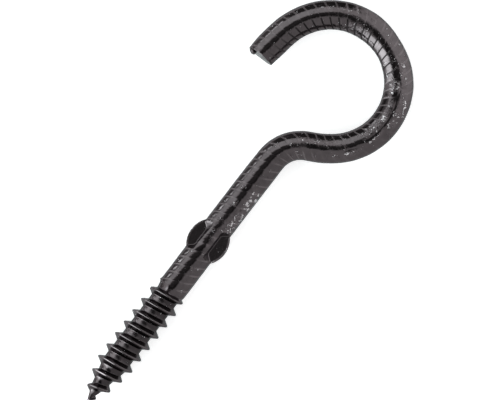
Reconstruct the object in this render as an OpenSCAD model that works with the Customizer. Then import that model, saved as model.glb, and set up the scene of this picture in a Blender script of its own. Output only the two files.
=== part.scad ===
// Screw hook bent from one length of round steel wire: a rolled wood-screw thread
// with a tapered point, a plain shank, two pinched ears that stop it against the
// wood, a straight neck, and an open round hook that is cranked over so that its
// middle stands above the shank's axis.
// The hook lies in the XY plane. The shank's axis is the Y axis, with the point
// towards -Y, and the origin is on that axis at the foot of the ears.

/* [Wire] */
// Diameter of the wire
wire_d = 6.0; // [5:0.1:8]

/* [Thread] */
// Length from the point's tip to the shoulder under the plain shank
thread_len = 28.0; // [20:0.1:45]
// How far the crests stand out of the wire's surface
crest_rise = 0.8; // [0.3:0.05:1.6]
// How deep the core between the ridges lies under the wire's surface
core_depth = 0.4; // [0.1:0.05:0.8]
// Distance from one turn to the next
pitch = 2.9; // [2.4:0.1:4]
// Angle of each ridge flank from square to the axis
flank_angle = 38; // [20:1:40]
// Width of the narrow land on the crest
crest_land = 0.14; // [0.05:0.01:0.4]
// Length of the tapered point
point_len = 9.1; // [6:0.1:15]
// Diameter of the point's blunt tip
tip_d = 0.6; // [0.4:0.1:1.2]
// Turns over which the thread rises out of the shank
runout_turns = 0.9; // [0.3:0.1:1.5]
// Turns over which it sinks back into the point
fade_turns = 1.0; // [0.3:0.1:1.5]
// Length of the cone between core and shank
shoulder_len = 0.7; // [0.3:0.1:2]

/* [Shank] */
// Plain length between the thread's shoulder and the ears
shank_len = 9.3; // [5:0.1:30]
// Length from the foot of the ears to the first bend
neck_len = 24.2; // [12:0.1:60]

/* [Ears] */
// Length of the ears along the shank
ear_len = 6.7; // [5:0.1:9]
// How far each ear stands out of the wire's surface
ear_rise = 1.15; // [0.8:0.05:2.5]
// Thickness of an ear
ear_t = 2.0; // [1.2:0.1:3]
// Bevel round an ear's rim
ear_bevel = 0.35; // [0.1:0.05:0.5]
// Width of the round ridge left between the pressed flats
ridge_w = 3.1; // [2:0.1:4]
// Corner radius of a pressed flat
flat_corner_r = 1.0; // [0.4:0.1:1.5]

/* [Hook] */
// Centreline radius of the bend that cranks the hook sideways
crank_r = 7.4; // [5:0.1:12]
// Turn of the crank
crank_turn = 63; // [40:1:75]
// Straight stretch after the crank
crank_gap = 1.9; // [0.5:0.1:6]
// Centreline radius where the wire runs into the round
lead_r = 16; // [12:0.1:30]
// Turn of that stretch
lead_turn = 18; // [5:1:30]
// Centreline radius of the round
ring_r = 13.6; // [9:0.1:25]
// Turn of the round
ring_turn = 190; // [150:1:205]
// Centreline radius where the round opens out
tail_r = 15; // [10:0.1:30]
// Turn of that stretch
tail_turn = 24; // [5:1:35]
// Straight stretch at the free end
tail_len = 7.4; // [3:0.1:15]
// Lean of the sheared end face out of the hook's plane
shear_lean = 8; // [0:1:20]
// Slant of the sheared end face within the hook's plane
shear_slant = 11; // [0:1:15]
// Bevel that the shear rolls over on the free end's outer side
shear_bevel = 0.5; // [0.2:0.1:1.2]

/* [Hidden] */
$fn = 72;

wire_r = wire_d / 2;
thread_r = wire_r + crest_rise;
core_r = wire_r - core_depth;
tip_r = tip_d / 2;

// Every second stretch of wire is a hair thinner and laps into its neighbours, so
// that their round faces never coincide where they join
HAIR = 0.005;
LAP = 0.05;
thin_r = wire_r - HAIR;

// The ridge starts above the shoulder, inside the shank, and ends inside the tip
STEPS_PER_TURN = 24;
FIRST_CREST = 0.09;
ROOT_SINK = 0.3;
RUNOUT_SINK = 0.1;
TIP_SINK = 0.05;
FOOT_MIN = 0.1;
thread_from = -0.28 * pitch;
thread_to = thread_len - 0.5;
thread_steps = ceil((thread_to - thread_from) / pitch * STEPS_PER_TURN);

// An ear's rim is a circular arc over a chord of ear_len on the wire's edge
lobe_r = (pow(ear_len / 2, 2) + pow(ear_rise, 2)) / (2 * ear_rise);
ear_reach = wire_r + ear_rise;

// Centreline from the first bend to the free end: [straight length, bend radius, turn],
// where a turn to the right is positive
BENDS = [
    [0, crank_r, crank_turn],
    [crank_gap, 0, 0],
    [0, lead_r, -lead_turn],
    [0, ring_r, -ring_turn],
    [0, tail_r, -tail_turn],
    [tail_len, 0, 0]
];
FREE_END = len(BENDS);

function ahead(heading) = [sin(heading), cos(heading), 0];
function right(heading) = [cos(heading), -sin(heading), 0];
function heading_at(i) = i == 0 ? 0 : heading_at(i - 1) + BENDS[i - 1][2];
function stride(bend, heading) =
    bend[0] * ahead(heading)
    + sign(bend[2]) * bend[1] * (right(heading) - right(heading + bend[2]));
function place_at(i) = i == 0
    ? [0, neck_len, 0]
    : place_at(i - 1) + stride(BENDS[i - 1], heading_at(i - 1));

// Radii at a depth below the shoulder. The ridge keeps its height down the point
// until it fades out at the tip.
function core_at(depth) =
    min(core_r, tip_r + (thread_len - depth) * (core_r - tip_r) / point_len);
function ridge_top(depth) =
    let (
        rise = min(1, (depth - thread_from) / (runout_turns * pitch)),
        fade = min(1, (thread_to - depth) / (fade_turns * pitch)),
        from_shank = thin_r - RUNOUT_SINK + rise * (thread_r - thin_r + RUNOUT_SINK)
    )
    min(from_shank, core_at(depth) - TIP_SINK + fade * (thread_r - core_r + TIP_SINK));
function ridge_foot(depth) = max(FOOT_MIN, core_at(depth) - ROOT_SINK);

// One cross-section of the helical ridge, from its lower flank over the crest
function ridge_section(step) =
    let (
        depth = thread_from + (thread_to - thread_from) * step / thread_steps,
        turn = 360 * (depth / pitch - FIRST_CREST),
        top = ridge_top(depth),
        foot = min(ridge_foot(depth), top - FOOT_MIN),
        half = crest_land / 2,
        spread = half + (top - foot) * tan(flank_angle)
    )
    [for (p = [[foot, -spread], [top, -half], [top, half], [foot, spread]])
        [p[0] * cos(turn), p[0] * sin(turn), depth + p[1]]];

module helical_ridge() {
    points = [for (i = [0:thread_steps]) each ridge_section(i)];
    last = 4 * thread_steps;
    sides = [
        for (i = [0:thread_steps - 1], j = [0:3])
            let (a = 4 * i + j, b = 4 * i + (j + 1) % 4)
            each [[a, b, a + 4], [b, b + 4, a + 4]]
    ];
    ends = [[3, 2, 1, 0], [last, last + 1, last + 2, last + 3]];
    polyhedron(points, concat(sides, ends), convexity = 10);
}

// Core, point and ridge, built downwards from the shoulder
module thread() {
    translate([0, -shank_len, 0]) rotate([90, 0, 0]) {
        cylinder(r1 = wire_r, r2 = core_r, h = shoulder_len);
        cylinder(r = core_r, h = thread_len - point_len);
        translate([0, 0, thread_len - point_len])
            cylinder(r1 = core_r, r2 = tip_r, h = point_len);
        helical_ridge();
    }
}

// Straight wire from the thread's shoulder into the first bend
module shank() {
    translate([0, -shank_len, 0]) rotate([-90, 0, 0])
        cylinder(r = thin_r, h = shank_len + neck_len + LAP);
}

// A round plate with a bevelled rim, as wide as the arc of an ear
module lobe_plate() {
    h = ear_t / 2;
    rotate_extrude() polygon([
        [0, -h], [lobe_r - ear_bevel, -h], [lobe_r, -h + ear_bevel],
        [lobe_r, h - ear_bevel], [lobe_r - ear_bevel, h], [0, h]
    ]);
}

// Each ear is its own plate, kept on its side of the wire from inside the ridge outwards
module ears() {
    for (side = [0, 1]) mirror([side, 0, 0]) intersection() {
        translate([ear_reach - lobe_r, ear_len / 2, 0]) lobe_plate();
        translate([ridge_w / 4, -ear_len, -ear_t]) cube([ear_reach, 3 * ear_len, 2 * ear_t]);
    }
}

// Room of one punch: an oval flat with round corners beside the ridge
module punch_room() {
    near = ridge_w / 2 + flat_corner_r;
    far = wire_d;
    low = flat_corner_r;
    high = ear_len - flat_corner_r;
    linear_extrude(wire_r) {
        translate([near - flat_corner_r, low]) square([far, high - low]);
        translate([near, 0]) square([far, ear_len]);
        translate([near, low]) circle(flat_corner_r);
        translate([near, high]) circle(flat_corner_r);
    }
}

module punch_rooms() {
    for (side = [0, 1], face = [0, 1])
        mirror([side, 0, 0]) mirror([0, 0, face])
            translate([0, 0, ear_t / 2]) punch_room();
}

// One stretch of the bent end, from its own start, heading along +Y
module stretch(bend, thin) {
    lap = thin ? LAP : 0;
    r = thin ? thin_r : wire_r;
    if (bend[2] == 0)
        translate([0, -lap, 0]) rotate([-90, 0, 0]) cylinder(r = r, h = bend[0] + 2 * lap);
    else {
        over = lap / bend[1] * 180 / PI;
        turn = abs(bend[2]) + 2 * over;
        to_right = bend[2] > 0;
        translate([to_right ? bend[1] : -bend[1], 0, 0])
            rotate([0, 0, to_right ? 180 - turn + over : -over])
                rotate_extrude(angle = turn) translate([bend[1], 0]) circle(r);
    }
}

module bent_end() {
    for (i = [0:FREE_END - 1])
        translate(place_at(i)) rotate([0, 0, -heading_at(i)])
            stretch(BENDS[i], thin = i % 2 == 1);
}

// What the shear takes off the free end: a leaning face, which crosses the wire's axis far
// enough back to take the whole square end, and a bevel on the face's outer edge
module shear_cut() {
    block = 3 * wire_d;
    steepness = norm([tan(shear_slant), tan(shear_lean) / cos(shear_slant)]);
    back = wire_r * steepness + LAP;
    outer_edge = wire_r * tan(shear_slant) - back;
    translate(place_at(FREE_END)) rotate([0, 0, -heading_at(FREE_END)]) {
        translate([0, -back, 0]) rotate([shear_lean, 0, shear_slant])
            translate([-block / 2, 0, -block / 2]) cube(block);
        translate([wire_r - shear_bevel, outer_edge, 0]) rotate([0, 0, -45])
            translate([-block / 2, 0, -block / 2]) cube(block);
    }
}

module screw_hook() {
    color([0.13, 0.12, 0.13]) {
        difference() {
            shank();
            punch_rooms();
        }
        ears();
        thread();
        difference() {
            bent_end();
            shear_cut();
        }
    }
}

screw_hook();
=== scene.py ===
# A screw hook of black coated steel wire, lying on a white table.
import math

import bpy
from mathutils import Matrix, Vector, noise


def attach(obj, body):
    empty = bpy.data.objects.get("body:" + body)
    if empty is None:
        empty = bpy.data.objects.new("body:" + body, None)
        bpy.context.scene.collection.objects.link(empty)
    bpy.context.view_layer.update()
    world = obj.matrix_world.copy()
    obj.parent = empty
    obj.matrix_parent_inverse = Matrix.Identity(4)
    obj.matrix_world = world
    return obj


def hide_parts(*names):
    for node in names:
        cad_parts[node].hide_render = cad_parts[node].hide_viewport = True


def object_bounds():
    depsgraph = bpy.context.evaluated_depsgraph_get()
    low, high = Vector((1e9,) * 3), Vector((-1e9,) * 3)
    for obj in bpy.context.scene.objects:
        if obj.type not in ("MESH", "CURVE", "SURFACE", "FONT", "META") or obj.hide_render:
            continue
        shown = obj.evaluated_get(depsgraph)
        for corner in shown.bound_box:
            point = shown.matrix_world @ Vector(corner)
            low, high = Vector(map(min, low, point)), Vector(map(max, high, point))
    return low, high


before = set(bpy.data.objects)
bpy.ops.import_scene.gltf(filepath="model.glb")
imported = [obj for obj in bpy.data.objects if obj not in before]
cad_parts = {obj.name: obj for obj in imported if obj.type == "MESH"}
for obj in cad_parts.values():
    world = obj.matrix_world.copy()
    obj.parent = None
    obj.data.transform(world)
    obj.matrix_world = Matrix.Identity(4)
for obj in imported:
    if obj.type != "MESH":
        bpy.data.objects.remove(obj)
cad_box = [list(corner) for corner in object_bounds()]


# ---- The camera ---------------------------------------------------------------------
# A long lens looks straight down on the table. Turning it about its own axis lays the
# shank across the frame from the lower left to the upper right.
MM = 0.001
VIEW_TURN = math.radians(37.42)
VIEW_WIDTH = 101.4 * MM
VIEW_CENTRE = (1.57 * MM, 15.20 * MM)
CAMERA_HEIGHT = 1.6

camera_data = bpy.data.cameras.new("camera")
camera_data.sensor_width = 36
camera_data.lens = camera_data.sensor_width * CAMERA_HEIGHT / VIEW_WIDTH
camera_data.clip_end = 10
camera = bpy.data.objects.new("camera", camera_data)
camera.location = (*VIEW_CENTRE, CAMERA_HEIGHT)
camera.rotation_euler = (0, 0, VIEW_TURN)
bpy.context.collection.objects.link(camera)
bpy.context.scene.camera = camera


# ---- The straight wire --------------------------------------------------------------
# The hook starts as drawn steel wire, 6 mm thick. The rollers of the straightener cut
# four fine grooves that run round it in a long right-handed spiral, and pressed the wire
# between them into rows of shallow pillows.
WIRE_R = 3.0 * MM
SHANK_LEN = 9.3 * MM
SHANK_END = -8.4 * MM
NECK_LEN = 24.2 * MM
GROOVES = 4
GROOVE_SPACING = 1.9 * MM
GROOVE_LEAD = GROOVES * GROOVE_SPACING
GROOVE_DEPTH = 0.05 * MM
GROOVE_PLACE = 0.45 * MM
PILLOW = 0.03 * MM
STEPS_ROUND = 72

# Points of a wound line that are nearer than this are joined, and a point this near to a
# cut is on it
SEAM_REACH = 0.003 * MM
ON_PLANE = 1e-8

# One groove and the plain wire up to the next: place along the wire in millimetres, and
# share of the groove's depth. A pillow swells over the whole of it.
GROOVE_BOTTOM = 0.19
GROOVE_SHAPE = [
    (0, 0), (0.10, 0.3), (GROOVE_BOTTOM, 1), (0.28, 0.3), (0.38, 0), (0.76, 0), (1.14, 0),
    (1.52, 0),
]

# The rollers also left four flats. Their angle above the wire's sides is in degrees, at
# its place along the wire in millimetres.
FLAT_ANGLE = [(9, 43.5), (15, 40), (72, 40), (76, 42.5), (82, 42.5), (88, 40)]
FLAT_REACH = math.radians(12)
FLAT_PRESSED = 0.75
BESIDE_REACH = 2.2 * FLAT_REACH

# Share of the relief that shows on a flat, and what is lost of it beside the flat. On the
# wire's right it changes: each row holds up to a place in millimetres.
LEFT_RELIEF = (1, 0.75)
RIGHT_RELIEF = [
    (30, 0.6, 0.2), (57, 0.3, 0.225), (72, 0.6, 0.45), (86, 1, 0.75), (math.inf, 0.6, 0.45),
]

# How unevenly the relief was pressed, and how unevenly the surface sags: length of the
# waves and height, which is greatest where the ears are pinched out
RELIEF_WAVE = 2.6 * MM
MEAN_RELIEF = 0.9
RELIEF_SPREAD = 0.9
LEAST_RELIEF = 0.2
SAG_WAVE = 1.5 * MM
SAG = 0.022 * MM
PINCH_SAG = 0.085 * MM
PINCH_MIDDLE = 3.1 * MM
PINCH_REACH = 3.3 * MM

# The burr at the shank's end
BURR_RISE = 0.12 * MM
BURR_REACH = 0.35 * MM

# The shear left the free end's face leaning, with its edge rolled over
SHEAR_LEAN = math.radians(6)
SHEAR_SLANT = math.radians(11)
SHEAR_BEVEL = 0.18 * MM

# The wire stops this much above the thread, and a ring of faces joins the two
WIRE_TO_THREAD = 0.1 * MM

# Centreline past the neck: straight length, bend radius, and turn to the right in degrees
BENDS = [
    (0, 7.4 * MM, 63),
    (1.9 * MM, 0, 0),
    (0, 16 * MM, -18),
    (0, 13.6 * MM, -190),
    (0, 15 * MM, -24),
    (7.4 * MM, 0, 0),
]


def draw_line(name, points):
    """An open line of edges in the XY plane, drawn from point to point."""
    bpy.ops.object.select_all(action="DESELECT")
    bpy.ops.mesh.primitive_plane_add(size=MM)
    line = bpy.context.object
    line.name = name
    bpy.ops.object.mode_set(mode="EDIT")
    bpy.ops.mesh.merge(type="CENTER")
    bpy.ops.transform.translate(value=(*points[0], 0))
    for here, there in zip(points, points[1:]):
        step = (there[0] - here[0], there[1] - here[1], 0)
        bpy.ops.mesh.extrude_region_move(TRANSFORM_OT_translate={"value": step})
    bpy.ops.object.mode_set(mode="OBJECT")
    return line


def pick_up(piece):
    """Makes a piece the only one that is selected, and the active one."""
    bpy.ops.object.select_all(action="DESELECT")
    piece.select_set(True)
    bpy.context.view_layer.objects.active = piece


def finish_with(piece, name, kind, **settings):
    """Adds one modifier to a piece and applies it."""
    modifier = piece.modifiers.new(name, kind)
    for key, value in settings.items():
        setattr(modifier, key, value)
    pick_up(piece)
    bpy.ops.object.modifier_apply(modifier=name)


def edit_all(piece):
    """Opens a piece in edit mode with everything selected."""
    pick_up(piece)
    bpy.ops.object.mode_set(mode="EDIT")
    bpy.ops.mesh.select_all(action="SELECT")


def wind(line, lead, turns):
    """Winds a line round the Y axis as a right-handed screw surface."""
    finish_with(
        line, "winding", "SCREW", axis="Y", screw_offset=lead, iterations=turns,
        steps=STEPS_ROUND, render_steps=STEPS_ROUND, use_normal_flip=True,
    )
    edit_all(line)
    bpy.ops.mesh.remove_doubles(threshold=SEAM_REACH)
    bpy.ops.object.mode_set(mode="OBJECT")


def cut_off(piece, place, outwards, close=False):
    """Cuts away what lies beyond a plane. It stays in edit mode, with the rim selected."""
    edit_all(piece)
    bpy.ops.mesh.bisect(
        plane_co=place, plane_no=outwards, clear_outer=True, use_fill=close, threshold=ON_PLANE
    )


wire_start = GROOVE_PLACE - SHANK_LEN - 1.5 * GROOVE_LEAD
wire_end = NECK_LEN + sum(
    straight + radius * math.radians(abs(turn)) for straight, radius, turn in BENDS
)
line_points = []
for groove in range(GROOVES):
    for offset, share in GROOVE_SHAPE:
        lift = PILLOW * math.sin(math.pi * offset * MM / GROOVE_SPACING) - GROOVE_DEPTH * share
        line_points.append((WIRE_R + lift, wire_start + groove * GROOVE_SPACING + offset * MM))
line_points.append((line_points[0][0], wire_start + GROOVE_LEAD))
wire = draw_line("screw_hook_wire", line_points)
wind(wire, GROOVE_LEAD, math.ceil((wire_end - wire_start) / GROOVE_LEAD))


def read_off(scale, y):
    """A value between the two nearest marks of a scale, both at their place in millimetres."""
    if y <= scale[0][0] * MM:
        return scale[0][1]
    for (low, before), (high, after) in zip(scale, scale[1:]):
        if y <= high * MM:
            return before + (after - before) * (y / MM - low) / (high - low)
    return scale[-1][1]


def relief_share(x, y, beside_flat):
    """How much of the grooves and pillows shows: most on the flats and on the left."""
    on_flat, lost = LEFT_RELIEF
    if x > 0:
        on_flat, lost = next(row[1:] for row in RIGHT_RELIEF if y < row[0] * MM)
    return on_flat - lost * beside_flat


def burr(x, y):
    """The thread's dies pushed up a small burr on the left of the shank's end."""
    beside = (y - SHANK_END) / BURR_REACH
    return BURR_RISE * math.exp(-(beside**2)) * max(0, -x / WIRE_R) ** 3


def rolled_radius(place):
    """The wire's radius with its flats, its relief and its unevenness.

    The surface is least even where the ears are pinched out of it.
    """
    x, y, z = place
    angle = abs(math.atan2(z, x))
    from_flat = abs(min(angle, math.pi - angle) - math.radians(read_off(FLAT_ANGLE, y)))
    flat = WIRE_R * math.cos(FLAT_REACH) / math.cos(min(from_flat, FLAT_REACH))
    beside_flat = min(1, from_flat / BESIDE_REACH)
    pressed = MEAN_RELIEF + RELIEF_SPREAD * noise.noise(place / RELIEF_WAVE)
    strength = max(LEAST_RELIEF, pressed)
    relief = (math.hypot(x, z) - WIRE_R) * strength * relief_share(x, y, beside_flat)
    pinched = math.exp(-(((y - PINCH_MIDDLE) / PINCH_REACH) ** 2))
    sag = (SAG + PINCH_SAG * pinched) * noise.noise(place / SAG_WAVE + Vector((7, 3, 5)))
    return WIRE_R - FLAT_PRESSED * max(0, WIRE_R - flat) + relief + sag + burr(x, y)


for vertex in wire.data.vertices:
    x, y, z = vertex.co
    stretch = rolled_radius(vertex.co) / math.hypot(x, z)
    vertex.co = (x * stretch, y, z * stretch)

face_turn = Matrix.Rotation(SHEAR_SLANT, 3, "Z") @ Matrix.Rotation(SHEAR_LEAN, 3, "X")
face_slope = math.hypot(math.tan(SHEAR_SLANT), math.tan(SHEAR_LEAN) / math.cos(SHEAR_SLANT))
face_place = (0, wire_end - WIRE_R * face_slope, 0)
cut_off(wire, face_place, face_turn @ Vector((0, 1, 0)), close=True)
bpy.ops.mesh.bevel(offset=SHEAR_BEVEL, segments=3, affect="EDGES")
bpy.ops.object.mode_set(mode="OBJECT")
cut_off(wire, (0, SHANK_END + WIRE_TO_THREAD, 0), (0, -1, 0))
bpy.ops.object.mode_set(mode="OBJECT")


# ---- The thread ---------------------------------------------------------------------
# The right-handed wood-screw thread is rolled out of the same wire: ridges with hollow
# flanks and a narrow crest, on a core a little thinner than the shank, down to a point.
THREAD_LEN = 28.0 * MM
PITCH = 2.9 * MM
CREST_R = 3.8 * MM
CORE_R = 2.6 * MM
SHOULDER_SLOPE = 0.27
SHOULDER_LEAN = 0.25 * MM
FIRST_CREST = 0.13
RISE_START = 0.2 * PITCH
RISE_LEN = 0.5 * PITCH
FADE_LEN = 1.5 * PITCH

# The first crest is blunt on the left: its radius there, and how far round it stays so
BLUNT_R = 3.62 * MM
BLUNT_ARC = 0.8

# The core from the tip up to where it is straight: place and radius in millimetres
CORE = [(-37.3, 0.5), (-35.2, 0.72), (-33.7, 1.28), (-28.2, 2.6)]

# One half of a ridge: distance from its crest, and height above the core
RIDGE_SHAPE = [
    (PITCH / 2, 0), (0.96 * MM, 0), (0.86 * MM, 0.05 * MM), (0.76 * MM, 0.18 * MM),
    (0.54 * MM, 0.52 * MM), (0.32 * MM, 0.87 * MM), (0.22 * MM, 1.03 * MM), (0.13 * MM, 1.14 * MM),
    (0.04 * MM, 1.2 * MM),
]
tip_y = -SHANK_LEN - THREAD_LEN


def shoulder_radius(x, y, z):
    """The shank sinks to the core in a cone, which starts a little later on the right."""
    start = SHANK_END - SHOULDER_LEAN * (1 + x / math.hypot(x, z))
    return WIRE_R - SHOULDER_SLOPE * max(0, start - y) + burr(x, y)


def ridge_share(y):
    """How far the ridge stands out: it rises at the shoulder and sinks away at the tip."""
    rising = (-SHANK_LEN + RISE_START - y) / RISE_LEN
    fading = (y - tip_y) / FADE_LEN
    return max(0, min(1, rising, fading))


def face_outwards():
    """Turns every face outwards, and leaves edit mode."""
    bpy.ops.mesh.select_all(action="SELECT")
    bpy.ops.mesh.normals_make_consistent(inside=False)
    bpy.ops.object.mode_set(mode="OBJECT")


lower_half = [(CORE_R + lift, -away) for away, lift in RIDGE_SHAPE]
upper_half = [(radius, -y) for radius, y in reversed(lower_half)]
turns_below = math.ceil(THREAD_LEN / PITCH) + 1
lowest_crest = -SHANK_LEN - PITCH * (FIRST_CREST + turns_below)
ridge_line = [(radius, y + lowest_crest) for radius, y in lower_half + upper_half]
thread = draw_line("screw_hook_thread", ridge_line)
wind(thread, PITCH, turns_below + 2)
cut_off(thread, (0, tip_y, 0), (0, -1, 0), close=True)
bpy.ops.object.mode_set(mode="OBJECT")
cut_off(thread, (0, SHANK_END, 0), (0, 1, 0))
bpy.ops.object.mode_set(mode="OBJECT")
for vertex in thread.data.vertices:
    x, y, z = vertex.co
    radius = math.hypot(x, z)
    if radius > 0:
        core_r = min(CORE_R, read_off(CORE, y) * MM)
        ridge_r = core_r + radius - CORE_R - (CREST_R - CORE_R) * (1 - ridge_share(y))
        if y > -SHANK_LEN - PITCH:
            ridge_r = min(ridge_r, BLUNT_R + max(0, x / radius + BLUNT_ARC) * MM)
        stretch = max(shoulder_radius(x, y, z), core_r, ridge_r) / radius
        vertex.co = (x * stretch, y, z * stretch)

# The shank and the thread are one piece of wire
pick_up(wire)
thread.select_set(True)
bpy.ops.object.join()
bpy.ops.object.mode_set(mode="EDIT")
bpy.ops.mesh.select_all(action="DESELECT")
bpy.ops.mesh.select_non_manifold(extend=False)
bpy.ops.mesh.bridge_edge_loops()
face_outwards()


# ---- The ears -----------------------------------------------------------------------
# Two ears are pinched out of the shank to stop it against the wood. The four punches
# left dark flats with rounded corners, and a round ridge of the wire between them.
EAR_LEN = 6.7 * MM
EAR_RISE = 1.15 * MM
EAR_T = 2.0 * MM
EAR_ROOT = 0.7 * MM
PUNCH_WIDTH = 4 * MM
PUNCH_HEIGHT = 3 * MM
PUNCH_CORNER_R = 0.35 * MM
PUNCH_EDGE_R = 0.14 * MM
END_SPREAD = 0.85

# Heights that differ by less than this are the same
HAIR = 1e-6

# Bevel of each ear's rim, and where its punches stand: distance from the shank's axis,
# from and to along the shank, and how much each end leans back for every step upwards
EAR_BEVEL = {-1: 0.12 * MM, 1: 0.40 * MM}
PUNCHES = {
    -1: (1.76 * MM, 1.20 * MM, 5.33 * MM, (0.75, 0.18), (1.15, 0.32)),
    1: (1.42 * MM, 1.38 * MM, 5.85 * MM, (0.85, 0.20), (0.50, 0.20)),
}
lobe_r = ((EAR_LEN / 2) ** 2 + EAR_RISE**2) / (2 * EAR_RISE)


def select_edges(piece, wanted):
    """Selects only the edges whose two ends pass a test, in edit mode."""
    bpy.ops.mesh.select_mode(type="EDGE")
    bpy.ops.mesh.select_all(action="DESELECT")
    bpy.ops.object.mode_set(mode="OBJECT")
    vertices = piece.data.vertices
    for edge in piece.data.edges:
        edge.select = wanted(*(vertices[i].co for i in edge.vertices))
    bpy.ops.object.mode_set(mode="EDIT")


def use_tool(piece, tool, operation):
    """Joins or cuts one solid with another, which is then thrown away."""
    finish_with(piece, "tool", "BOOLEAN", operation=operation, solver="EXACT", object=tool)
    bpy.data.objects.remove(tool)


def ear_plate(side):
    """The plate of one ear, cut off inside the wire."""
    centre = side * (WIRE_R + EAR_RISE - lobe_r)
    bpy.ops.object.select_all(action="DESELECT")
    bpy.ops.mesh.primitive_cylinder_add(
        vertices=180, radius=lobe_r, depth=EAR_T, location=(centre, EAR_LEN / 2, 0)
    )
    plate = bpy.context.object
    bpy.ops.object.transform_apply(location=True)
    edit_all(plate)
    select_edges(plate, lambda a, b: abs(a.z - b.z) < HAIR)
    bpy.ops.mesh.bevel(offset=EAR_BEVEL[side], segments=3, affect="EDGES")
    bpy.ops.object.mode_set(mode="OBJECT")
    cut_off(plate, (side * EAR_ROOT, 0, 0), (-side, 0, 0), close=True)
    face_outwards()
    return plate


def punch(side, face):
    """The nose of one punch, steep towards the ridge and with leaning ends.

    It is longer on its outer side, where the ear is widest.
    """
    near, start, stop, start_lean, stop_lean = PUNCHES[side]
    middle = (start + stop) / 2
    place = (side * (near + PUNCH_WIDTH / 2), middle, face * (EAR_T + PUNCH_HEIGHT) / 2)
    bpy.ops.object.select_all(action="DESELECT")
    bpy.ops.mesh.primitive_cube_add(
        size=1, location=place, scale=(PUNCH_WIDTH, stop - start, PUNCH_HEIGHT)
    )
    nose = bpy.context.object
    bpy.ops.object.transform_apply(location=True, scale=True)
    for vertex in nose.data.vertices:
        endwards = math.copysign(1, vertex.co.y - middle)
        back, inwards = stop_lean if endwards > 0 else start_lean
        on_top = abs(vertex.co.z) > PUNCH_HEIGHT
        if abs(vertex.co.x) > near + MM:
            vertex.co.y += endwards * END_SPREAD * PUNCH_WIDTH
        elif on_top:
            vertex.co.x -= side * inwards * PUNCH_HEIGHT
            vertex.co.y -= endwards * inwards * END_SPREAD * PUNCH_HEIGHT
        if on_top:
            vertex.co.y += endwards * back * PUNCH_HEIGHT
    edit_all(nose)
    select_edges(nose, lambda a, b: abs(a.z - b.z) > MM and max(abs(a.x), abs(b.x)) < near + MM)
    bpy.ops.mesh.bevel(offset=PUNCH_CORNER_R, segments=5, affect="EDGES")
    select_edges(nose, lambda a, b: max(abs(a.z), abs(b.z)) < EAR_T / 2 + HAIR)
    bpy.ops.mesh.bevel(offset=PUNCH_EDGE_R, segments=3, affect="EDGES")
    face_outwards()
    return nose


for side in (-1, 1):
    for face in (-1, 1):
        use_tool(wire, punch(side, face), "DIFFERENCE")
for side in (-1, 1):
    use_tool(wire, ear_plate(side), "UNION")

# The shear dragged a small lump of metal past the free end, near its outer edge
LUMP_PLACE = (1.85 * MM, wire_end - 0.2 * MM, -0.3 * MM)
LUMP_STRETCH = (0.95, 0.52, 1.6)
bpy.ops.object.select_all(action="DESELECT")
bpy.ops.mesh.primitive_uv_sphere_add(
    segments=24, ring_count=12, radius=MM, location=LUMP_PLACE, scale=LUMP_STRETCH
)
lump = bpy.context.object
bpy.ops.object.transform_apply(location=True, scale=True)
use_tool(wire, lump, "UNION")


# ---- The bend -----------------------------------------------------------------------
# The wire is cranked sideways and then bent round into the open hook. The bending
# stretched it a little thinner in places, and it sways by a tenth of a millimetre.

# Places along the wire in millimetres, with the share of its width that is left there,
# and with how far it sways to the right there in millimetres
THICKNESS = [
    (-37, 1.01), (-9, 1.027), (20, 1.027), (30, 0.99), (42, 1.012), (58, 1.005), (62, 0.985),
    (65, 0.95), (67, 0.95), (72, 1.012), (79, 1), (88, 1), (93, 1.03), (97, 1.01),
]
SWAY = [
    (-37.3, 0.6), (-35.2, 0.05), (-33.7, 0), (-5, 0), (6, -0.08), (18, -0.08), (26, 0), (37, -0.13),
    (48, 0.07), (58, 0.09), (67, -0.14), (76, 0.02), (91, 0.16), (96, 0),
]

# In the round the grooves lean forwards on the left, by this share of the distance from
# the middle, and the ridge next to the tip was rolled a little lower, in millimetres
GROOVE_LEAN = [(58, 0), (74, 0.2), (94, 0.2), (98, 0)]
LAST_RIDGE_SLIP = [(-37.2, 0), (-34.4, -0.35), (-31.5, 0)]

# The outer side tapers towards the free end
TAPER_LEN = 3.4 * MM
TAPER = 0.17
BEND_STEP = math.radians(1)
SHARP_FROM = math.radians(32)


def rightwards(heading):
    return Vector((math.cos(heading), -math.sin(heading)))


route = [Vector((0, 0)), Vector((0, NECK_LEN))]
heading = 0.0
for straight, radius, turn in BENDS:
    if turn:
        to_right = math.copysign(1, turn)
        centre = route[-1] + to_right * radius * rightwards(heading)
        for _ in range(round(abs(turn) / math.degrees(BEND_STEP))):
            heading += to_right * BEND_STEP
            route.append(centre - to_right * radius * rightwards(heading))
    else:
        route.append(route[-1] + straight * Vector((math.sin(heading), math.cos(heading))))

bend_data = bpy.data.curves.new("bend", "CURVE")
bend_data.dimensions = "2D"
bend_line = bend_data.splines.new("POLY")
bend_line.points.add(len(route) - 1)
for point, place in zip(bend_line.points, route):
    point.co = (*place, 0, 1)
bend = bpy.data.objects.new("bend", bend_data)
bpy.context.collection.objects.link(bend)

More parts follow.
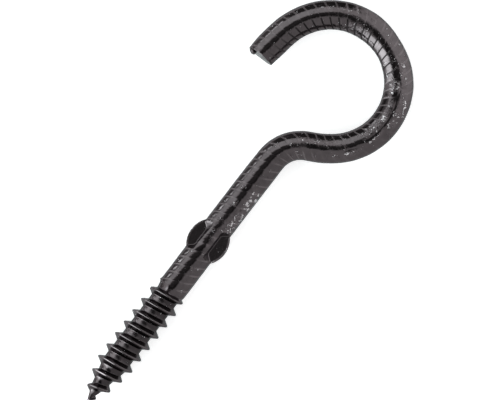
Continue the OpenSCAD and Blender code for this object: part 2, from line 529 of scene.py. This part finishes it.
# The coating's pattern follows the straight wire, so each point keeps its place on it
as_drawn = wire.data.attributes.new("as_drawn", "FLOAT_VECTOR", "POINT")
for index, vertex in enumerate(wire.data.vertices):
    as_drawn.data[index].vector = vertex.co / MM
for vertex in wire.data.vertices:
    x, y, z = vertex.co
    into_end = max(0, (y - wire_end + TAPER_LEN) / TAPER_LEN)
    x *= read_off(THICKNESS, y) * (1 - (TAPER * into_end**2 if x > 0 else 0))
    # The bend lays the wire's Z along the hook's plane, so it is turned a quarter here
    shift = read_off(LAST_RIDGE_SLIP, y) * MM - x * read_off(GROOVE_LEAN, y)
    vertex.co = (z, y + shift, -x - read_off(SWAY, y) * MM)
finish_with(wire, "bend", "CURVE", object=bend, deform_axis="POS_Y")
bpy.data.objects.remove(bend)

bpy.ops.object.shade_smooth_by_angle(angle=SHARP_FROM)
finish_with(wire, "even_shading", "WEIGHTED_NORMAL", keep_sharp=True)
wire.name = "screw_hook_wire"
wire.data.name = "screw_hook_wire"
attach(wire, "root")
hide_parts("screw_hook")


# ---- The black coating --------------------------------------------------------------
# Bright zinc on steel with a glossy black passivated skin, which reflects like dark
# glass, and is broken into small pale flecks where the bending has crazed it.
class Field:
    """A value over a surface, or over the sky. Arithmetic on it adds Math nodes."""

    def __init__(self, tree, socket=None):
        self.tree = tree
        self.socket = socket

    def node(self, kind, inputs=None, output=0, **settings):
        """Adds any node: its settings first, then the values or links of its sockets."""
        made = self.tree.nodes.new("ShaderNode" + kind)
        for key, value in settings.items():
            setattr(made, key, value)
        for name, value in (inputs or {}).items():
            if isinstance(value, Field):
                self.tree.links.new(value.socket, made.inputs[name])
            else:
                made.inputs[name].default_value = value
        return Field(self.tree, made.outputs[output])

    def maths(self, operation, *others):
        return self.node("Math", dict(enumerate((self, *others))), operation=operation)

    def __add__(self, other):
        return self.maths("ADD", other)

    def __sub__(self, other):
        return self.maths("SUBTRACT", other)

    def __rsub__(self, other):
        return self.node("Math", {0: other, 1: self}, operation="SUBTRACT")

    def __mul__(self, other):
        return self.maths("MULTIPLY", other)

    def __truediv__(self, other):
        return self.maths("DIVIDE", other)

    __radd__ = __add__
    __rmul__ = __mul__

    def rises(self, low, high):
        """0 below low and 1 above high, with a smooth step between."""
        limits = {"Value": self, "From Min": low, "From Max": high}
        return self.node("MapRange", limits, interpolation_type="SMOOTHSTEP")

    def within(self, low, high, soft):
        """1 between two values, falling smoothly to 0 past them."""
        return self.rises(low - soft, low + soft) * (1 - self.rises(high - soft, high + soft))


SKIN_COLOUR = (0.129, 0.1135, 0.1185)
FLECK_COLOUR = (0.8, 0.77, 0.79, 1)
SKIN_ROUGHNESS = 0.10

coating = bpy.data.materials.new("black_coating")
coating.use_nodes = True
shader = coating.node_tree.nodes["Principled BSDF"]
skin = Field(coating.node_tree)
on_wire = skin.node("Attribute", output="Vector", attribute_name="as_drawn")
across = skin.node("SeparateXYZ", {0: on_wire}, output="X")
along = skin.node("SeparateXYZ", {0: on_wire}, output="Y")
height = skin.node("SeparateXYZ", {0: on_wire}, output="Z")


def random_pattern(scale, detail, roughness=0.5, distortion=0):
    """Soft noise that follows the wire."""
    settings = {"Scale": scale, "Detail": detail, "Roughness": roughness, "Distortion": distortion}
    return skin.node("TexNoise", {"Vector": on_wire, **settings})


# The rolled grooves, where the skin is dull: a painted highlight makes them lighter, but
# painted shade makes them darker inside the round, and they are nearly gone at the outside
# where the round begins
from_axis = (across * across + height * height).maths("SQRT")
to_left = 0 - across
aside = across.maths("ABSOLUTE")
share_round = (0 - height).maths("ARCTAN2", across) / (2 * math.pi)
from_first = along - (wire_start / MM + GROOVE_BOTTOM)
groove_count = from_first / (GROOVE_SPACING / MM) - GROOVES * share_round
from_groove = (groove_count.maths("FRACT") - 0.5).maths("ABSOLUTE")
on_shank = along.rises(-8.8, -8.4)
on_ear = along.within(-0.3, 7.0, 0.1) * (1 - height.maths("ABSOLUTE").rises(1.05, 1.25))
inside_round = along.rises(57, 62) * to_left.rises(0.1, 0.7)
on_side = (0.15 + 0.85 * aside.rises(0.7, 1.9)).maths("MAXIMUM", inside_round)
worn_smooth = 0.75 * across.rises(0.2, 0.8) * along.within(34, 57, 2)
groove = from_groove.rises(0.375, 0.43) * on_side * on_shank * (1 - on_ear) * (1 - worn_smooth)

# Where the skin has crazed: from and to along the wire, from and to across it, and density
CRAZED = [
    (6.9, 17.4, 1.1, 2.8, 0.95), (12, 13.4, -0.8, -0.2, 1.0), (31.5, 37, -2.0, -0.4, 0.6),
    (39.7, 43.2, 0.9, 1.9, 0.95), (44.5, 48, 0.5, 1.2, 0.8), (44, 55, -1.5, -0.2, 0.85),
    (56.5, 59, -1.9, 0.2, 0.9), (49.5, 57, 0.3, 2.2, 0.7), (58, 63, 0.2, 1.7, 0.9),
    (75, 84, 1.2, 2.2, 0.5),
]
FADE_ALONG = 0.9
FADE_ACROSS = 0.35
RIM_CRAZING = 0.8
crazing = 0.3 * random_pattern(0.16, 1).rises(0.52, 0.68)
on_upper_half = height.rises(-0.5, 0.5)
for start, stop, left, right, density in CRAZED:
    patch = along.within(start, stop, FADE_ALONG) * across.within(left, right, FADE_ACROSS)
    crazing = crazing.maths("MAXIMUM", density * (patch * on_upper_half))
crazing = crazing * on_shank * (1 - on_ear)

# The rims of the ears have crazed too
rim_r = lobe_r / MM
from_lobe_x = aside - (WIRE_R + EAR_RISE - lobe_r) / MM
from_lobe_y = along - EAR_LEN / 2 / MM
from_lobe = (from_lobe_x * from_lobe_x + from_lobe_y * from_lobe_y).maths("SQRT")
on_rim = from_lobe.rises(rim_r - 0.4, rim_r - 0.25) * aside.rises(2.6, 2.9)
crazing = crazing.maths("MAXIMUM", RIM_CRAZING * on_rim * on_ear)

# The pale flecks are crumbs of the grain, and where the skin has crazed most, stretches of
# thin cracks that run between the cells of a net
grain = random_pattern(1.1, 3, 0.65, 1.2)
crumbs = grain + 0.12 * crazing
cell = skin.node(
    "TexVoronoi", {"Vector": on_wire, "Scale": 1.4}, output="Distance", feature="DISTANCE_TO_EDGE"
)
crack = (1 - cell.rises(0.04, 0.11)) * crazing.rises(0.6, 0.9) * grain.rises(0.56, 0.62)
fleck = crumbs.rises(0.69, 0.71).maths("MAXIMUM", crack)
# A painted shadow darkens a ring beside each fleck
painted_fleck_shadow = crumbs.within(0.65, 0.69, 0.015)

# The thread was rolled with sharp dies: its core is matt and its flanks smooth. Painted
# shade darkens its core and makes its flanks black, and a painted highlight makes it grey on
# the left and along its crests, which are partly worn lighter too
on_thread = 1 - along.rises(-10.2, -9.6)
core_taper = (CORE[-1][1] - CORE[0][1]) / (CORE[-1][0] - CORE[0][0])
core = (CORE[0][1] + (along - CORE[0][0]) * core_taper).maths("MINIMUM", CORE_R / MM)
up_flank = (from_axis - core) * on_thread
flank = up_flank.rises(0.1, 0.35)
crest = up_flank.rises(1.0, 1.15)
on_core = on_thread * (1 - flank)
on_point = 1 - along.rises(-30, -26)
# Painted highlight on the left of the core and of the flanks, and on the crests, which are partly
# worn
painted_highlight_and_wear = 0.9 * on_core * (to_left / core).within(0.35, 0.9, 0.12)
painted_highlight_and_wear = painted_highlight_and_wear + 0.6 * flank * (to_left - core).rises(-0.2, 0.1)
painted_highlight_and_wear = painted_highlight_and_wear + crest * (0.1 + (0.05 + 1.1 * on_point) * to_left.within(0.1, 2.5, 0.3))

# The slopes that the punches pressed beside the flats are dull, and have painted shade that dims
# their reflection
pressed = along.within(-0.5, 7.8, 0.1) * (1 - from_axis.rises(2.65, 2.8)) * (1 - on_ear)

# The colour: each part lightens or darkens the skin, and the flecks lie on top
mottling = random_pattern(0.9, 3, 0.6)
# Painted shade darkens the thread's core and flanks and the pressed slopes, and a painted highlight
# lightens the thread's left side and crests
shade = 1 + 0.5 * (mottling - 0.5) - 0.45 * on_core - 0.2 * flank + painted_highlight_and_wear - 0.2 * pressed
# Painted highlight along the grooves, and painted shade in them inside the round
shade = shade + groove * (0.5 - (1.3 - 0.5 * along.rises(87, 95)) * inside_round)
# Lighter where the skin has crazed, and a painted shadow beside each fleck
shade = shade + 0.2 * crazing - 0.6 * painted_fleck_shadow
dark_skin = skin.node(
    "VectorMath", {0: SKIN_COLOUR, "Scale": shade}, output="Vector", operation="SCALE"
)
colour = skin.node("Mix", {0: fleck, 6: dark_skin, 7: FLECK_COLOUR}, output=2, data_type="RGBA")

# The relief is in millimetres
relief = 0.022 * random_pattern(1.7, 2, 0.55) + 0.2 * crazing * grain + 0.03 * fleck
bump = skin.node("Bump", {"Distance": MM, "Height": relief}, output="Normal")
roughness = SKIN_ROUGHNESS + 0.15 * on_core * (1 - 0.4 * on_point) + 0.1 * flank
roughness = roughness + 0.35 * groove + 0.12 * on_ear + 0.3 * pressed
for name, value in (("Base Color", colour), ("Roughness", roughness), ("Normal", bump)):
    coating.node_tree.links.new(value.socket, shader.inputs[name])
shader.inputs["Metallic"].default_value = 1
shader.inputs["Specular Tint"].default_value = (0.5, 0.5, 0.5, 1)
wire.data.materials.clear()
wire.data.materials.append(coating)
for polygon in wire.data.polygons:
    polygon.material_index = 0


# ---- The table ----------------------------------------------------------------------
# A white sheet of card, which the hook touches at the thread's crests. It is lit to a
# plain white, and the gloss of the hook shows the foot of the tent in its place.
TABLE_R = 0.2
TABLE_LIFT = 0.6
bpy.ops.object.select_all(action="DESELECT")
bpy.ops.mesh.primitive_circle_add(
    vertices=96, radius=TABLE_R, fill_type="NGON", location=(0, 0, cad_box[0][2])
)
table = bpy.context.object
table.name = "table"
sheet = bpy.data.materials.new("white_sheet")
sheet.use_nodes = True
sheet_shader = sheet.node_tree.nodes["Principled BSDF"]
sheet_shader.inputs["Base Color"].default_value = (0.9, 0.9, 0.9, 1)
sheet_shader.inputs["Roughness"].default_value = 0.9
sheet_shader.inputs["Specular IOR Level"].default_value = 0
sheet_shader.inputs["Emission Color"].default_value = (1, 1, 1, 1)
light_path = Field(sheet.node_tree)
lift = TABLE_LIFT * light_path.node("LightPath", output="Is Camera Ray")
sheet.node_tree.links.new(lift.socket, sheet_shader.inputs["Emission Strength"])
table.data.materials.append(sheet)
table.visible_glossy = False


# ---- The light ----------------------------------------------------------------------
# A white tent. It is painted by the place where each part of it would show on a shiny
# ball seen from above: 0.7 from the ball's middle is the horizon.

# Brightness of its parts, where 1 is plain white, and how far the dark parts darken it
GREY_WALL = 0.56
LIT_WALL = 1.2
SLIT = 5.5
SHORT_SLIT = 2.4
LAMP = 2.9
FOOT = 0.95
GAP_DARKENS = 0.93
OPENING_DARKENS = 0.92
PLAIN_WHITE = (1, 1, 1, 1)
COOL_WHITE = (0.92, 1, 1, 1)

world = bpy.data.worlds.new("tent")
bpy.context.scene.world = world
world.use_nodes = True
tent = Field(world.node_tree)
sky = tent.node("TexCoord", output="Generated")


def part_along(direction):
    """How far the way that is looked at runs along a direction."""
    return tent.node("VectorMath", {0: sky, 1: direction}, output="Value", operation="DOT_PRODUCT")


# Place on the ball, and bearing in degrees from the right, with the top at 90
spread = (2.0001 + 2 * part_along((0, 0, 1))).maths("SQRT")
ball_x = part_along((math.cos(VIEW_TURN), math.sin(VIEW_TURN), 0)) / spread
ball_y = part_along((-math.sin(VIEW_TURN), math.cos(VIEW_TURN), 0)) / spread
from_middle = (ball_x * ball_x + ball_y * ball_y).maths("SQRT")
bearing = ball_y.maths("ARCTAN2", ball_x) * (180 / math.pi)

# Grey walls to the right and below, brighter towards the upper right
level = GREY_WALL + 0.04 * from_middle.rises(0.5, 0.8) - 0.05 * bearing.within(-75, -15, 15)
level = level + 0.42 * bearing.within(-18, 75, 22)
# The lit wall at the upper left
level = level + bearing.within(85, 172, 14) * (LIT_WALL - level)
# A dark gap at the foot of that wall, with two bright slits in it
gap_top = 0.53 + 0.09 * bearing.rises(108, 128)
below_top = (from_middle - gap_top).rises(-0.02, 0.02)
raised = from_middle + 0.04 * bearing.within(104, 136, 5)
gap = bearing.within(68, 168, 5) * below_top * (1 - raised.rises(0.83, 0.89))
level = level * (1 - (GAP_DARKENS - 0.15 * bearing.rises(118, 130)) * gap)
slit = bearing.within(139, 146.5, 1) * from_middle.within(0.70, 0.722, 0.012)
short_slit = bearing.within(126, 136, 2) * from_middle.within(0.63, 0.70, 0.02)
level = level + SLIT * slit + SHORT_SLIT * short_slit
# The lamp at the lower left, brightest in its middle
full_bearing = bearing + 360 * bearing.maths("LESS_THAN", 0)
lamp = full_bearing.within(180, 238, 7) + 0.4 * full_bearing.within(198, 217, 8)
level = level + LAMP * lamp * from_middle.within(0.38, 0.80, 0.04)
# The foot of the tent, which is as white as the table, in the wire's edges
level = level + from_middle.rises(0.84, 0.93) * (FOOT - level)
# The opening overhead for the lens, wider at the lower left and the upper right
hole_x = (ball_x + 0.13) / 0.25
hole_y = (ball_y - 0.03) / 0.175
hole_widening = 0.2 * (bearing.within(-172, -115, 10) + bearing.within(40, 75, 12))
hole_widening = hole_widening - 0.1 * bearing.within(116, 148, 5)
hole_reach = (hole_x * hole_x + hole_y * hole_y).maths("SQRT") - hole_widening
hole = 1 - hole_reach.rises(0.8, 1.2)
level = level * (1 - OPENING_DARKENS * hole)
# What is bright is faintly cool, and the camera itself sees plain white
to_camera = tent.node("LightPath", output="Is Camera Ray")
bright = level.rises(0.9, 1.4).maths("MAXIMUM", from_middle.rises(0.84, 0.93))
cool = bright * (1 - to_camera)
tint = tent.node("Mix", {0: cool, 6: PLAIN_WHITE, 7: COOL_WHITE}, output=2, data_type="RGBA")
level = level + to_camera * (1 - level)
background = world.node_tree.nodes["Background"]
world.node_tree.links.new(tint.socket, background.inputs["Color"])
world.node_tree.links.new(level.socket, background.inputs["Strength"])

bpy.context.scene.view_settings.view_transform = "Standard"
